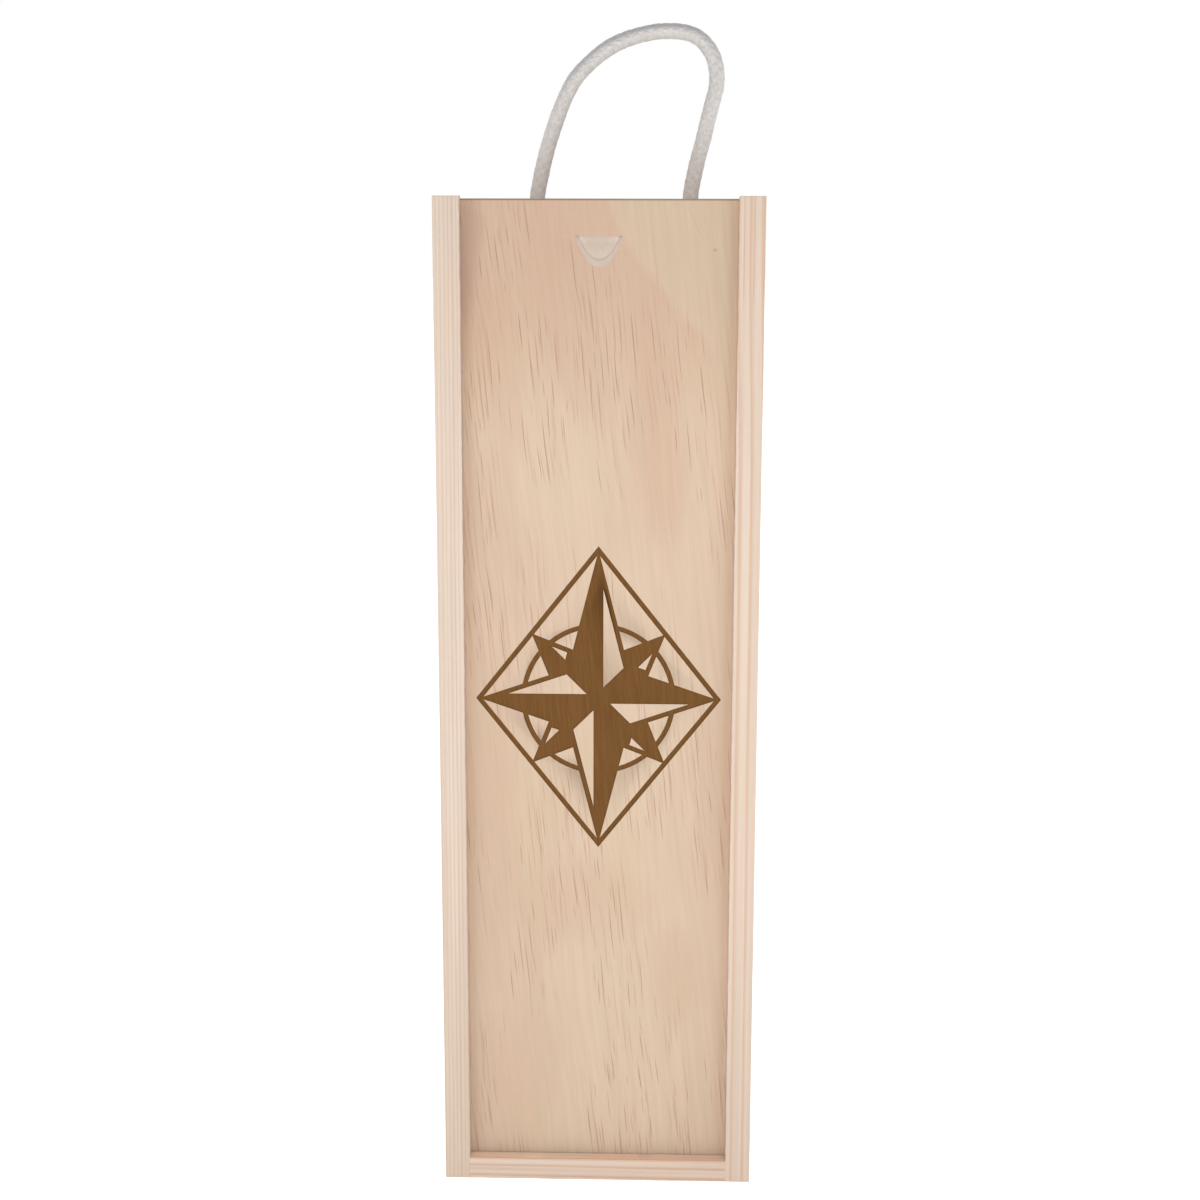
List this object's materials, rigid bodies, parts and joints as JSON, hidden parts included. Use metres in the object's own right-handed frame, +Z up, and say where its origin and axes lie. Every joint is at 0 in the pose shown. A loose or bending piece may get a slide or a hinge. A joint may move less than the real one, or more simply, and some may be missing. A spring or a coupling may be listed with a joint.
{
  "type": "wooden bottle box",
  "caption": "Upright one-bottle box of pine boards with a sliding plywood lid, thumb notch, burnt star ornament and a rope loop handle.",
  "frame": {"origin": "middle of the box's footprint, on the surface it stands on", "axes": "+Z up along the box's height, -Y out of the sliding lid, +X to the right of someone who looks at the lid"},
  "size_m": [0.11, 0.1, 0.4087],
  "materials": {
    "pine_boards": "planed pine, unvarnished",
    "plywood_lid": "sanded plywood, unvarnished",
    "plywood_back": "sanded plywood, unvarnished",
    "cotton_rope": "off-white braided cotton",
    "steel_brads": "bright steel"
  },
  "bodies": {
    "box": {"left_side_board": "pine_boards", "right_side_board": "pine_boards", "top_board": "pine_boards", "bottom_board": "pine_boards", "back_panel": "plywood_back", "corner_brads": "steel_brads", "back_panel_brads": "steel_brads", "left_rope_end": "cotton_rope", "right_rope_end": "cotton_rope"},
    "lid": {"sliding_lid": "plywood_lid"},
    "handle": {"rope_handle": "cotton_rope"}
  },
  "joints": [
    {"name": "lid_slide", "type": "slide", "parent": "box", "child": "lid", "axis": [0, 0, 1], "range_m": [0, 0.32]},
    {"name": "handle_tilt", "type": "hinge", "parent": "box", "child": "handle", "pos_m": [0.004, 0, 0.35205], "axis": [-1, 0, 0], "range_deg": [-35, 75], "stiffness_Nm_per_rad": 0.01}
  ]
}
